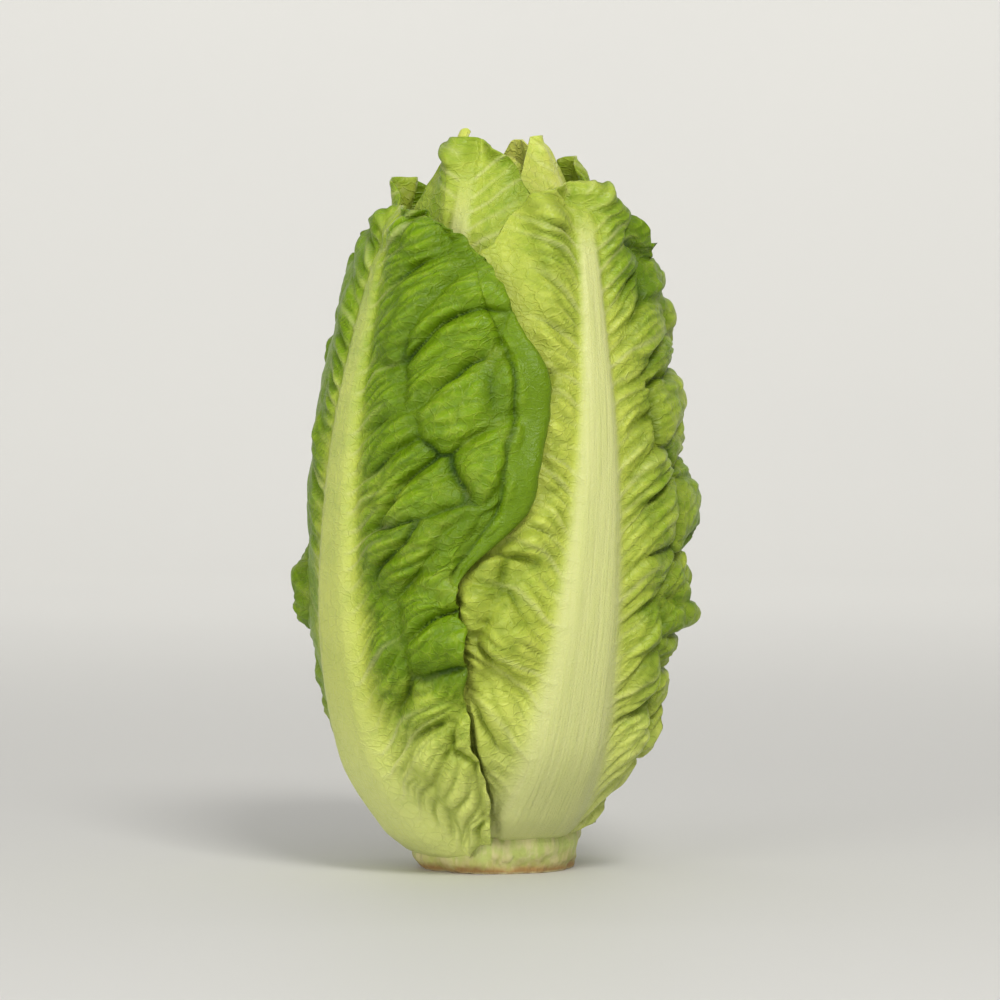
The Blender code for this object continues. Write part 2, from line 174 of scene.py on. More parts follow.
def leafFacts(index):  # place, reach and wave of one leaf, all from its place in the spiral
    draw = np.random.default_rng(spiral["firstSeed"] + index)
    inward = index / (spiral["leaves"] - 1)
    quarterTurns = min(1.0, inward / spiral["tallestAt"])
    pastTallest = max(0.0, inward - spiral["tallestAt"]) / (1.0 - spiral["tallestAt"])
    tip = spiral["oldestTip"] + spiral["tipRise"] * math.sin(quarterTurns * math.pi / 2)
    joinHeight = spiral["firstJoin"] + (spiral["joinStep"] + spiral["joinGrowth"] * index) * index
    stoutness = 1.0 - form["innerSlightness"] * inward
    heel = (1.0 - form["outwardShare"]) * form["rib"] * form["heelShare"] * stoutness
    hero = index == spiral["heroIndex"]
    return {
        "index": index,
        "azimuth": spiral["firstAzimuth"] + spiral["goldenAngle"] * index,
        "twist": spiral["heroTwist"] if hero else draw.uniform(-1.0, 1.0) * spiral["twistRange"],
        "joinHeight": joinHeight,
        "joinRadius": float(stemRadius(joinHeight)) + 0.5 * form["blade"] + heel + spiral["joinGap"],
        "layer": 1.0 - spiral["layerStep"] * index,
        "tipHeight": tip - spiral["innermostDrop"] * pastTallest
        + draw.uniform(-1.0, 1.0) * spiral["tipVariation"],
        "spread": (1.0 + form["innerBroadening"] * inward) * draw.uniform(*form["spreadRange"]),
        **{word: (form if index else oldestForm)[word] for word in oldestForm},
        "stoutness": stoutness,
        "flare": draw.uniform(*form["flareRange"]) if index < spiral["outerLeaves"] else 0.0,
        "curl": form["innerCurl"] * float(rise(inward, form["curledLeaves"])),
        "calm": 0.0 if index else form["rollCalm"],
        "phase": draw.uniform(0.0, 2.0 * math.pi, 4),
    }


def halfAngle(leaf, along):  # by S curves, from the clasping foot to the neck and from there to the broad top
    foot = leaf["foot"] + (leaf["neck"] - leaf["foot"]) * rise(along, (0.0, leaf["neckAt"]))
    broad = leaf["broad"] * leaf["spread"]
    return foot + (broad - foot) * rise(along, (leaf["neckAt"], leaf["neckAt"] + leaf["neckToBroad"]))


def leafPlace(leaf, u, v):
    # Share of the leaf's height, and azimuth. Below the shoulder the leaf is a strip, above it a square
    # pressed into a half disc. A sine takes its margins in and out.
    shoulder = form["shoulder"]
    top = np.clip((v - shoulder) / (1.0 - shoulder), 0.0, 1.0)
    across = u * np.sqrt(1.0 - 0.5 * top**2)
    along = np.where(v < shoulder, v, shoulder + (1.0 - shoulder) * top * np.sqrt(1.0 - 0.5 * u**2))
    notches = np.sin(form["notchRate"] * v + leaf["phase"][0] + form["notchOffset"] * np.sign(u))
    notch = 1.0 + form["notchDepth"] * notches * rise(v, form["notchStart"])
    turn = leaf["twist"] * (along - spiral["twistPivot"])
    return along, leaf["azimuth"] + turn + halfAngle(leaf, along) * across * notch


def midRadius(leaf, z):  # the middle surface goes from the stem to its own layer of the head, by a square
    ownLayer = leaf["layer"] * headRadius(z)
    left = 1.0 - np.clip((z - leaf["joinHeight"]) / spiral["claspHeight"], 0.0, 1.0)
    return leaf["joinRadius"] + (ownLayer - leaf["joinRadius"]) * (1.0 - left**2)


def reachOn(older, azimuth, z):  # a point's place on an older leaf: shares of its height and half angle
    height = older["tipHeight"] - older["joinHeight"]
    up = np.clip((z - older["joinHeight"]) / height, 0.0, spiral["pastTip"])
    away = azimuth - older["azimuth"] - older["twist"] * (up - spiral["twistPivot"])
    return up, np.abs((away + 180.0) % 360.0 - 180.0) / halfAngle(older, up)


def coverOver(leaf, olderLeaves, azimuth, z):
    # How free the point is, from 0 under an older leaf to 1, and its layers of room to the nearest older leaf
    # over it, or to the head's outline where there is none.
    free, layers = np.ones_like(z), np.full_like(z, float(leaf["index"]))
    for older in olderLeaves:
        up, away = reachOn(older, azimuth, z)
        free = free * (1.0 - fall(away, spiral["coverEdge"]) * fall(up, spiral["coverTop"]))
        near = fall(away, spiral["roomEdge"]) * fall(up, spiral["roomTop"])
        layers = np.minimum(layers, leaf["index"] * (2.0 - near) - older["index"])
    return free, layers


def ribHalf(leaf, along):  # half the rib's width, by a power of the share left to the tip
    spare = form["ribHalfWidth"] - form["tipRibHalfWidth"]
    left = (1.0 - along) ** form["ribNarrowing"]
    return (form["tipRibHalfWidth"] + spare * left) * leaf["stoutness"]


def ribThickness(leaf, x, along):  # thick low down, fine at the tip, with S curve flanks and a thin heel
    height = form["tipRib"] + (form["rib"] - form["tipRib"]) * (1.0 - along)
    heel = between((form["heelShare"], 1.0), rise(along, form["heelEnd"]))
    return height * heel * leaf["stoutness"] * fall(np.abs(x) / ribHalf(leaf, along), form["ribFlank"])


def largeSwell(leaf, u, along, x, free, calm):
    # Sine puckers that fan out from the rib, and a sine frill at the margin and the top, small where covered.
    side, away = np.sign(u), np.abs(x)
    fan = 2.0 * math.pi * form["puckers"] * along - form["puckerSlant"] * away + leaf["phase"][1] + side
    margin = rise(np.abs(u), form["frillMargin"]) * rise(along, form["frillStart"])
    sideTurn = 2.0 * math.pi * form["frills"] * along + leaf["phase"][2] + form["frillOffset"] * side
    topFrill = rise(along, form["frillTop"]) * wave(form["topFrills"] * u + leaf["phase"][3])
    puckers = form["puckerHeight"] * wave(fan) * rise(away, form["puckerStart"])
    frill = form["frillHeight"] * np.maximum(margin * wave(sideTurn), topFrill)
    return between((form["coveredShare"], 1.0), free) * calm * (puckers + frill)


def tuck(u, along):  # the lower wings press in against what they wrap
    low = rise(along, form["tuckStart"]) * fall(along, form["tuckEnd"])
    return form["tuckDepth"] * rise(np.abs(u), form["tuckMargin"]) * low


# What only the fine leaves have. Heights, spacings and the noises' cells are in millimetres.
relief = {
    "blade": 0.62, "marginBlade": 0.34, "thinMargin": (0.9, 1.0), "thinTop": (0.95, 1.0),
    "seedStep": 11, "ribShare": 0.75, "climb": 10.0, "climbLength": 14.0,
    "slope": 0.12, "footSlope": 0.75, "footSlopeHeight": 26.0,
    "bend": 1.8, "bendCell": (11.0, 11.0), "fineBend": 0.6, "fineBendCell": (4.0, 4.0),
    "bladeStart": (0.0, 9.0), "ribZone": (0.0, 3.0), "ribZoneEnd": (12.0, 26.0), "ribZoneFade": 0.7,
    "foldSpacing": 9.4, "oldestFoldSpacing": 11.5, "foldLength": 20.0, "foldBow": 45.0, "cellShift": 0.37,
    "foldHeight": 1.6, "foldRise": (0.0, 0.55), "foldRound": 0.7, "foldRange": (0.6, 1.4),
    "foldWarp": 3.2, "foldCell": (13.0, 13.0), "foldOutCell": (10.0, 10.0),
    "grooveDepth": 1.1, "grooveWidth": 0.08, "grooveRange": (0.12, 1.0), "grooveFade": (-0.45, 0.35),
    "grooveCell": (8.0, 8.0), "stripCalm": 0.9, "cellRise": (0.0, 0.6),
    "wrinkleSpacing": 2.6, "wrinkleLength": 11.0, "wrinkleHeight": 0.55,
    "blisterSpacing": 3.4, "blisterLength": 4.8, "blisterHeight": 0.34, "blisterLeast": 0.5,
    "blisterStart": (8.0, 18.0), "blisterFoot": (0.1, 0.32),
    "lumpCell": (17.0, 13.0), "lumpBend": 1.6, "lumpHeight": 0.8,
    "veinSpacing": 3.9, "veinWidth": 0.42, "veinHeight": 0.42, "veinReach": (5.0, 17.0),
    "veinRange": (0.3, 1.0), "veinRoot": (0.45, 0.9),
    "combSpacing": 3.0, "combHeight": 0.42, "combBend": 3.0, "combCell": (8.0, 6.0),
    "combPatch": (-0.5, 0.5), "combPatchCell": (9.0, 7.0), "combRange": (0.35, 1.0),
    "marginCalm": 0.5, "marginZone": (0.7, 1.0), "looseStart": (0.3, 0.9), "looseRange": (0.06, 1.0),
    "rollWidth": 6.0, "rollLeast": 0.4, "rollGrowth": (0.40, 0.56), "rollStart": (0.41, 0.45),
    "rollEnd": (0.74, 0.90), "rollFlank": (0.6, 1.0), "rollHeight": 1.0, "rollLean": 0.6, "rollRound": 0.8,
    "rollCrease": 0.8, "rollRipple": 0.25, "rollRipples": 14.0, "rollCell": (1.0, 5.0), "rollSeed": 77,
    "rollStrip": 3.0, "stripOffset": 1.0,
    "backCalm": 0.8, "backSwell": 0.35, "backStart": (0.1, 0.4), "backEnd": (0.6, 0.85),
    "footSink": 1.5, "footRound": 4.0, "footStart": -0.5, "footRange": (0.25, 1.0),
}

# How dark the painted shade in each kind of crease is, and the ends between which it fades.
creaseShades = {
    "fold": (0.02, 0.15), "broadShade": (0.1, 0.4), "broadShadeShare": 0.45, "cell": (0.0, 0.3),
    "wrinkleShare": 0.55, "blisterShare": 0.35, "comb": (0.0, 0.35), "combShare": 0.6,
    "rollShare": 0.8, "backCalm": 0.6, "coveredRange": (0.3, 1.0),
}


def rolledMargin(leaf, along, inside):
    # For the oldest leaf's rolled front margin: how far a point is on it, its bead, the crease beside it, and
    # the strip where the folds run out. The bead is a half sine that leans towards the margin and ripples a
    # little, and it tapers to nothing at its lower end. Inside is the distance from the margin.
    width = relief["rollWidth"] * rise(along, relief["rollGrowth"]) + relief["rollLeast"]
    share = rise(along, relief["rollStart"]) * fall(along, relief["rollEnd"]) * (leaf["calm"] > 0.0)
    lean = np.clip(inside / width, 0.0, 1.0) ** relief["rollLean"]
    bead = np.sin(math.pi * lean) ** relief["rollRound"] * width / relief["rollWidth"]
    ripple = drift(along * relief["rollRipples"], inside, relief["rollSeed"], relief["rollCell"])
    bead = bead * (1.0 + relief["rollRipple"] * ripple)
    beside = bell(inside - width, relief["rollCrease"])
    strip = bell(inside - width - relief["stripOffset"], relief["rollStrip"])
    return share * fall(inside / width, relief["rollFlank"]), share * bead, share * beside, share * strip


def fineRelief(leaf, u, along, x, y, free, rollParts):
    # Lift of the blade, and the masks that its colours follow, among them the painted shade in its creases.
    # Each pattern runs along s, the height where a vein leaves the rib: y less a climb that flattens
    # outwards, bent a little by noise. Folds, wrinkles and blisters are cells drawn out along s, with rounded
    # tops and narrow creases. Veins are thin ridges at even steps of s, and the comb beside the rib is a sine
    # of s, in patches.
    seed = relief["seedStep"] * leaf["index"]
    roll, bead, beside, strip = rollParts
    side, away = np.sign(u), np.abs(x)
    ribEdge = ribHalf(leaf, along)
    off = np.maximum(away - relief["ribShare"] * ribEdge, 0.0)
    slope = relief["slope"] + relief["footSlope"] * np.exp(-y / relief["footSlopeHeight"])
    climb = relief["climb"] * (1.0 - np.exp(-off / relief["climbLength"])) + slope * off
    s = y - climb + relief["bend"] * drift(x, y, seed, relief["bendCell"])
    s = s + relief["fineBend"] * drift(x, y, seed + 1, relief["fineBendCell"])

    spacing = relief["foldSpacing"] if leaf["index"] else relief["oldestFoldSpacing"]
    foldS = s + relief["foldWarp"] * drift(x, y, seed + 11, relief["foldCell"])
    foldOff = off + relief["foldWarp"] * drift(x, y, seed + 12, relief["foldOutCell"])
    foldOut = foldOff / relief["foldLength"] + (off / relief["foldBow"]) ** 2 + relief["cellShift"]
    foldEdge, foldOwn = pockets(foldS / spacing, side * foldOut, seed + 2)
    fold = rise(foldEdge, relief["foldRise"]) ** relief["foldRound"] * between(relief["foldRange"], foldOwn)
    fade = rise(drift(x, y, seed + 8, relief["grooveCell"]), relief["grooveFade"])
    strength = between(relief["grooveRange"], fade) * (1.0 - relief["stripCalm"] * strip)
    groove = bell(foldEdge, relief["grooveWidth"]) * strength
    wrinkleOut = side * (off / relief["wrinkleLength"] + relief["cellShift"])
    wrinkleEdge, _ = pockets(s / relief["wrinkleSpacing"], wrinkleOut, seed + 3)
    blisterOut = side * off / relief["blisterLength"]
    blisterEdge, blisterOwn = pockets(s / relief["blisterSpacing"], blisterOut, seed + 4)

    onBlade = rise(off, relief["bladeStart"])
    nearRib = rise(off, relief["ribZone"]) * (1.0 - relief["ribZoneFade"] * rise(off, relief["ribZoneEnd"]))
    outWide = rise(off, relief["blisterStart"]) * rise(along, relief["blisterFoot"])
    line = s / relief["veinSpacing"]
    number = np.floor(line + 0.5)
    veinOwn = hashed(number, side + 3.0, seed + 6)
    ridge = bell((line - number) * relief["veinSpacing"], relief["veinWidth"])
    runOut = 1.0 - np.clip(off / between(relief["veinReach"], veinOwn**2), 0.0, 1.0)
    vein = ridge * between(relief["veinRange"], veinOwn) * rise(away / ribEdge, relief["veinRoot"]) * runOut
    combTurn = relief["combBend"] * drift(x, y, seed + 9, relief["combCell"])
    comb = wave(2.0 * math.pi * s / relief["combSpacing"] + combTurn)
    combPatch = rise(drift(x, y, seed + 10, relief["combPatchCell"]), relief["combPatch"])
    combShare = nearRib * between(relief["combRange"], combPatch)

    edgeCalm = 1.0 - relief["marginCalm"] * rise(np.abs(u), relief["marginZone"])
    lumps = wave(relief["lumpBend"] * drift(x, y, seed + 5, relief["lumpCell"]))
    blister = rise(blisterEdge, relief["cellRise"]) * (relief["blisterLeast"] + blisterOwn) * outWide
    lift = onBlade * (relief["foldHeight"] * fold * edgeCalm - relief["grooveDepth"] * groove)
    lift = lift + relief["combHeight"] * comb * combShare
    lift = lift + relief["lumpHeight"] * lumps * onBlade
    lift = lift + relief["wrinkleHeight"] * rise(wrinkleEdge, relief["cellRise"]) * nearRib
    lift = lift + relief["blisterHeight"] * blister
    lift = lift + relief["veinHeight"] * vein
    # The crease mask is painted shade: dark along the fold lines with a broader shade beside them, and in the
    # hollows between wrinkles, blisters and comb ridges, and in the crease beside the roll.
    foldShade = fall(foldEdge, creaseShades["fold"]) * strength
    creaseShade = np.maximum.reduce([
        np.maximum(foldShade, creaseShades["broadShadeShare"] * fall(foldEdge, creaseShades["broadShade"])) * onBlade,
        creaseShades["wrinkleShare"] * fall(wrinkleEdge, creaseShades["cell"]) * nearRib,
        creaseShades["blisterShare"] * fall(blisterEdge, creaseShades["cell"]) * outWide,
        creaseShades["combShare"] * fall(comb, creaseShades["comb"]) * combShare,
        creaseShades["rollShare"] * beside,
    ])

    lift = lift * (1.0 - roll) + relief["rollHeight"] * bead - relief["grooveDepth"] * beside
    if leaf["index"] == 0:  # its back wing lies flat beside the rib, which makes the heart's outline there
        outline = rise(-u, relief["backStart"]) * fall(-u, relief["backEnd"])
        lift = lift * (1.0 - relief["backCalm"] * outline)
        creaseShade = creaseShade * (1.0 - creaseShades["backCalm"] * outline)
    loose = between(relief["looseRange"], rise(free, relief["looseStart"]))
    creaseShade = creaseShade * (1.0 - roll) * between(creaseShades["coveredRange"], loose)
    return lift * loose, {"creaseShade": creaseShade, "vein": vein, "roll": roll}


# How green each leaf is, from 0, pale, to 1, deep, and how much greener its right side is than its left.
greenness = {
    "outer": (0.90, 0.84, 0.44, 0.88, 0.76, 0.82), "bias": (0.0, 0.1, 0.22, -0.1, 0.1, 0.0),
    "biasStart": (0.0, 4.0), "inner": 0.60, "innerStep": 0.055, "ribShare": 0.8,
    "wingStart": -1.0, "wingEnd": (14.0, 5.0), "wingRange": (0.25, 1.0), "footStart": (8.0, 44.0),
    "top": 0.35, "topStart": (0.62, 0.92), "topRange": (0.4, 1.0), "coveredRange": (0.55, 1.0),
    "cloud": 0.18, "cloudSeed": 900, "cloudCell": (14.0, 14.0),
    "patch": 0.10, "patchSeed": 950, "patchCell": (5.0, 5.0),
    "rib": (0.32, 0.55, 1.0, 0.5, 0.7, 0.6), "innerRib": 0.8, "ribEnd": (0.82, 0.99),
    "pale": (6.0, 38.0), "paleWander": 5.0, "paleCell": (8.0, 12.0),
}


def greenMask(leaf, u, along, x, y, free):  # pale at the foot, by the rib and where covered, deep out wide
    index, outerLeaves = leaf["index"], spiral["outerLeaves"]
    own, bias = greenness["inner"] - greenness["innerStep"] * (index - outerLeaves), 0.0
    if index < outerLeaves:
        own, bias = greenness["outer"][index], greenness["bias"][index]
    off = np.maximum(np.abs(x) - greenness["ribShare"] * ribHalf(leaf, along), 0.0)
    wing = rise(off, (greenness["wingStart"], between(greenness["wingEnd"], own)))
    cloud = greenness["cloud"] * drift(x, y, greenness["cloudSeed"] + index, greenness["cloudCell"])
    patch = greenness["patch"] * drift(x, y, greenness["patchSeed"] + index, greenness["patchCell"])
    green = own + bias * np.sign(u) * rise(off, greenness["biasStart"])
    green = green * between(greenness["wingRange"], wing) * rise(y, greenness["footStart"])
    top = greenness["top"] * rise(along, greenness["topStart"]) * between(greenness["topRange"], own)
    return np.clip(green + top + (cloud + patch), 0.0, 1.0) * between(greenness["coveredRange"], free)


# The ripples and the fine frill of the leaves' edges.
ruffle = {
    "firstSeed": 300, "seedStep": 7, "margin": (0.75, 1.0), "top": (0.88, 1.0), "start": (0.0, 0.15),
    "ripple": 0.8, "rollCalm": 0.7, "sideCell": (4.2, 1.0), "fineSideCell": (1.8, 1.0), "fineSide": 0.5,
    "topCell": (4.0, 1.0), "fineTopCell": (1.7, 1.0), "fineTop": 0.4,
    "frill": 1.0, "frillSpacing": 9.0, "frillSlant": 0.6, "frillBend": 2.0, "frillCell": (9.0, 9.0),
    "frillStart": (0.15, 0.45),
}
skinUnit, skinStep = 10.0, 1.7  # the leaf skins' patterns are in centimetres, and each leaf has its own layer


def leafShape(leaf, olderLeaves, u, v):
    # Outer and inner surface and the masks on the grid (u, v). The middle surface is the solids' own, with
    # ripples at its margin and its foot sunk into the stem. The relief lifts both faces along its normal.
    along, azimuth = leafPlace(leaf, u, v)
    corner = rise(np.abs(u), form["cornerMargin"]) * fall(along, form["cornerEnd"])
    y = (leaf["tipHeight"] - leaf["joinHeight"]) * along + form["cornerRise"] * corner
    z = leaf["joinHeight"] + y
    index, side = leaf["index"], np.sign(u)
    seed, sideRow, topRow = ruffle["firstSeed"] + ruffle["seedStep"] * index, side * 3.0, 0.5 + 0.0 * u
    margin, topEdge = rise(np.abs(u), ruffle["margin"]), rise(v, ruffle["top"])
    radius = midRadius(leaf, z)
    rollParts = rolledMargin(leaf, along, (1.0 - u) * np.radians(halfAngle(leaf, along)) * radius)
    roll = rollParts[0]

    fineSide = ruffle["fineSide"] * drift(y, sideRow, seed + 1, ruffle["fineSideCell"])
    ripple = ruffle["ripple"] * (drift(y, sideRow, seed, ruffle["sideCell"]) + fineSide)
    ripple = ripple * (1.0 - ruffle["rollCalm"] * roll)
    azimuth = azimuth + np.degrees(side * margin * rise(along, ruffle["start"]) * ripple / radius)
    x = np.radians(azimuth - leaf["azimuth"] - leaf["twist"] * (along - spiral["twistPivot"])) * radius
    fineTop = ruffle["fineTop"] * drift(x, topRow, seed + 4, ruffle["fineTopCell"])
    z = z + topEdge * ruffle["ripple"] * (drift(x, topRow, seed + 2, ruffle["topCell"]) + fineTop)

    free, layers = coverOver(leaf, olderLeaves, azimuth, z)
    spare = np.maximum(layers - 1.0, 0.0) * rise(along, spiral["roomStart"])
    radius = radius + spiral["roomShare"] * spiral["layerStep"] * headRadius(z) * spare - tuck(u, along)
    calm = 1.0 - leaf["calm"] * rise(u, form["rollMargin"]) * rise(along, form["rollStart"])
    calm = calm * (1.0 - (1.0 - relief["backSwell"]) * rise(-u, relief["backStart"]) * (leaf["calm"] > 0.0))
    flare = leaf["flare"] * free * rise(along, form["flareStart"])
    radius = radius + largeSwell(leaf, u, along, x, free, calm) + flare
    frillTurn = 2.0 * math.pi * (y + ruffle["frillSlant"] * x) / ruffle["frillSpacing"] + leaf["phase"][2]
    frillTurn = frillTurn + ruffle["frillBend"] * drift(y, x, seed + 3, ruffle["frillCell"])
    frill = np.sin(frillTurn) * np.maximum(margin, topEdge) * free * (1.0 - roll)
    radius = radius + ruffle["frill"] * frill * rise(along, ruffle["frillStart"])
    radius = radius * (1.0 - leaf["curl"] * rise(along, form["curlStart"]))
    radius = radius - relief["footSink"] * fall(y, (0.0, relief["footRound"]))

    middle = aboutAxis(radius, np.radians(azimuth), z)
    normal = np.cross(np.gradient(middle, axis=1), np.gradient(middle, axis=0))
    normal /= np.linalg.norm(normal, axis=-1, keepdims=True)
    lift, masks = fineRelief(leaf, u, along, x, y, free, rollParts)
    rib = ribThickness(leaf, x, along)
    edge = np.maximum(rise(np.abs(u), relief["thinMargin"]), rise(v, relief["thinTop"]))
    half = 0.5 * between((relief["blade"], relief["marginBlade"]), edge)
    proud = 1.0 + form["ribProud"] * rise(free, form["proudStart"])
    footShare = between(relief["footRange"], rise(y, (relief["footStart"], relief["footRound"])))
    outward = (half + form["outwardShare"] * rib * proud) * footShare
    outer = middle + normal * (outward + lift)[..., None]
    inner = middle - normal * (half + (1.0 - form["outwardShare"]) * rib - lift)[..., None]

    ribShare = greenness["rib"][index] if index < len(greenness["rib"]) else greenness["innerRib"]
    flank = fall(np.abs(x) / ribHalf(leaf, along), form["ribFlank"])
    wander = greenness["paleWander"] * drift(x, y, seed + 5, greenness["paleCell"])
    masks["rib"] = ribShare * flank * fall(along, greenness["ribEnd"])
    masks["foot"] = fall(y + wander, greenness["pale"])
    masks["green"] = greenMask(leaf, u, along, x, y, free)
    masks["place"] = np.stack([x / skinUnit, y / skinUnit, np.full_like(x, skinStep * index)], axis=-1)
    return outer, inner, masks


def aboutAxis(radius, turn, z):  # points at a radius, at radians from the front and at a height
    return np.stack([radius * np.sin(turn), -radius * np.cos(turn), z + 0.0 * turn], axis=-1)


def gridQuads(rows, columns, first=0, flip=False, wrap=False):  # corner numbers of a grid's quads
    i, j = np.meshgrid(np.arange(rows - 1), np.arange(columns if wrap else columns - 1), indexing="ij")
    a, b = i * columns + j, i * columns + (j + 1) % columns
    quads = np.stack([a, b, b + columns, a + columns], axis=-1).reshape(-1, 4) + first
    return quads[:, ::-1] if flip else quads


def rimLoop(rows, columns, first=0):  # corner numbers once round the edge of a grid
    bottom = np.arange(columns - 1)
    right = np.arange(rows - 1) * columns + columns - 1
    top = (rows - 1) * columns + np.arange(columns - 1, 0, -1)
    left = np.arange(rows - 1, 0, -1) * columns
    return np.concatenate([bottom, right, top, left]) + first


def addPiece(name, points, quads, triangles, finish, masks):  # a mesh from arrays, its masks as attributes
    mesh = bpy.data.meshes.new(name)
    corners = np.concatenate([quads.ravel(), triangles.ravel()])
    starts = np.concatenate([np.arange(len(quads)) * 4, len(quads) * 4 + np.arange(len(triangles)) * 3])
    mesh.vertices.add(len(points))
    mesh.vertices.foreach_set("co", (points * mm).astype(np.float32).ravel())
    mesh.loops.add(len(corners))
    mesh.loops.foreach_set("vertex_index", corners.astype(np.int32))
    mesh.polygons.add(len(starts))
    mesh.polygons.foreach_set("loop_start", starts.astype(np.int32))
    mesh.update(calc_edges=True)
    for word, values in masks.items():
        kind, field = ("FLOAT_VECTOR", "vector") if values.ndim == 2 else ("FLOAT", "value")
        layer = mesh.attributes.new(word, kind, "POINT")
        layer.data.foreach_set(field, values.astype(np.float32).ravel())
    mesh.materials.append(finish)
    mesh.shade_smooth()
    piece = bpy.data.objects.new(name, mesh)
    bpy.context.scene.collection.objects.link(piece)
    return piece


def place(piece, node, slot):  # a finished piece stands for its CAD node and rides on the one body
    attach(piece, "root")
    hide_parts(node)


# Rows and columns of the outside. The inside has half as many steps each way.
leafGrid = {"outer": (281, 151), "inner": (121, 81), "innerCrowding": 1.7}


def leafKind(leaf):  # the first leaves of the spiral are outer ones
    return "outer" if leaf["index"] < spiral["outerLeaves"] else "inner"


def addLeaf(leaf, olderLeaves, finish):  # a closed sheet: fine outside, coarser inside, a rim between
    rows, columns = leafGrid[leafKind(leaf)]
    upSteps = np.linspace(0.0, 1.0, rows)
    if leafKind(leaf) == "inner":  # mostly the tops of the inner leaves show, so their rows crowd there
        upSteps = 1.0 - (1.0 - upSteps) ** leafGrid["innerCrowding"]
    u, v = np.meshgrid(np.linspace(-1.0, 1.0, columns), upSteps)
    outer, _, masks = leafShape(leaf, olderLeaves, u, v)
    _, inner, innerMasks = leafShape(leaf, olderLeaves, u[::2, ::2], v[::2, ::2])
    count = rows * columns
    innerRows, innerColumns = inner.shape[:2]
    points = np.concatenate([outer.reshape(-1, 3), inner.reshape(-1, 3)])
    quads = np.concatenate([gridQuads(rows, columns), gridQuads(innerRows, innerColumns, count, flip=True)])
    fine, coarse = rimLoop(rows, columns), rimLoop(innerRows, innerColumns, count)
    even, odd, nextEven, nextCoarse = fine[::2], fine[1::2], np.roll(fine[::2], -1), np.roll(coarse, -1)
    triangles = np.concatenate([
        np.stack([odd, even, coarse], axis=-1),
        np.stack([odd, coarse, nextCoarse], axis=-1),
        np.stack([nextEven, odd, nextCoarse], axis=-1),
    ])
    joined = {}
    for word in masks:
        depth = masks[word].shape[2:]
        joined[word] = np.concatenate([masks[word].reshape(-1, *depth), innerMasks[word].reshape(-1, *depth)])
    name = f"leaf_{leaf['index'] + 1:02d}"
    place(addPiece(name + "_blade", points, quads, triangles, finish, joined), name, leafKind(leaf) + "_leaf")


def addTurned(name, rings, low, high, finish, masks):  # rings of points, with a fan to a pole at both ends
    count, sides = rings.shape[:2]
    points = np.concatenate([rings.reshape(-1, 3), [low, high]])
    quads = gridQuads(count, sides, wrap=True)
    j = np.arange(sides)
    foot = np.stack([np.full(sides, count * sides), (j + 1) % sides, j], axis=-1)
    lastRing = (count - 1) * sides
    top = np.stack([np.full(sides, count * sides + 1), lastRing + j, lastRing + (j + 1) % sides], axis=-1)
    return addPiece(name, points, quads, np.concatenate([foot, top]), finish, masks)


def addStem(leaves, finish):
    # A disc of rings, a round bevel and the solids' cone, with its stump kept stout above the cut. Under each
    # outer leaf's foot the cone swells to meet it. Between the feet are the ridges that older leaves left.
    sides, edge = stem["sides"], stem["edge"]
    turn = np.linspace(0.0, 2.0 * math.pi, sides, endpoint=False)
    faceRadius = float(stemRadius(0.0)) - edge
    faceShare = np.linspace(stem["faceStart"], 1.0, stem["faceRings"])[:, None]
    bevel = np.linspace(0.0, math.pi / 2, stem["bevelRings"] + 1)[1:, None]
    coneHeight = np.linspace(edge, stem["height"], stem["rings"])[1:, None]
    capShare = np.array(stem["capShares"])[:, None]
    share = np.concatenate([faceShare, np.ones((len(bevel) + len(coneHeight), 1)), capShare])
    radius = np.concatenate([
        np.full_like(faceShare, faceRadius),
        faceRadius + (stemRadius(edge) - faceRadius) * np.sin(bevel),
        stemRadius(coneHeight),
        np.full_like(capShare, stem["tipRadius"]),
    ]) + 0.0 * turn
    top = np.full_like(capShare, stem["height"])
    z = np.concatenate([0.0 * faceShare, edge * (1.0 - np.cos(bevel)), coneHeight, top]) + 0.0 * turn

    cushion = np.zeros_like(z)
    for leaf in leaves[: spiral["outerLeaves"]]:
        away = np.abs((np.degrees(turn) - leaf["azimuth"] + 180.0) % 360.0 - 180.0) / leaf["foot"]
        up = rise(z - leaf["joinHeight"], stem["cushionReach"]) * rise(z, stem["cushionStart"])
        cushion = np.maximum(cushion, up * fall(away, stem["cushionSide"]))
    aroundX, aroundY = stem["wobbleCount"] * np.cos(turn) + 9.0, stem["wobbleCount"] * np.sin(turn)
    rough = stem["wobble"] * drift(aroundX, aroundY + stem["wobbleRise"] * z, 41)
    aroundX, aroundY = stem["fibreCount"] * np.cos(turn) + 20.0, stem["fibreCount"] * np.sin(turn)
    rough = rough + stem["fibre"] * drift(aroundX, aroundY + stem["fibreRise"] * z, 43)
    tilt = stem["scarTilt"] * np.sin(stem["scarWaves"] * turn + 1.0)
    scars = np.sin(2.0 * math.pi * z / stem["scarSpacing"] + tilt) * rise(z, stem["scarStart"])
    scars = stem["scarHeight"] * scars * (1.0 - cushion)
    stump = np.maximum(stem["stumpRadius"] - radius, 0.0) * rise(z, stem["stumpStart"])
    radius = radius + stump * fall(z, stem["stumpEnd"])
    radius = radius + fall(z, stem["roughEnd"]) * (rough + stem["cushion"] * cushion + scars)
    radius = radius * share

    rings = aboutAxis(radius, turn, z)
    masks = {"face": np.append(fall(z, stem["faceEdge"]).ravel(), [1.0, 0.0])}
    piece = addTurned("stem_core", rings, (0.0, 0.0, 0.0), (0.0, 0.0, stem["height"]), finish, masks)
    place(piece, "stem", "stem_flesh")


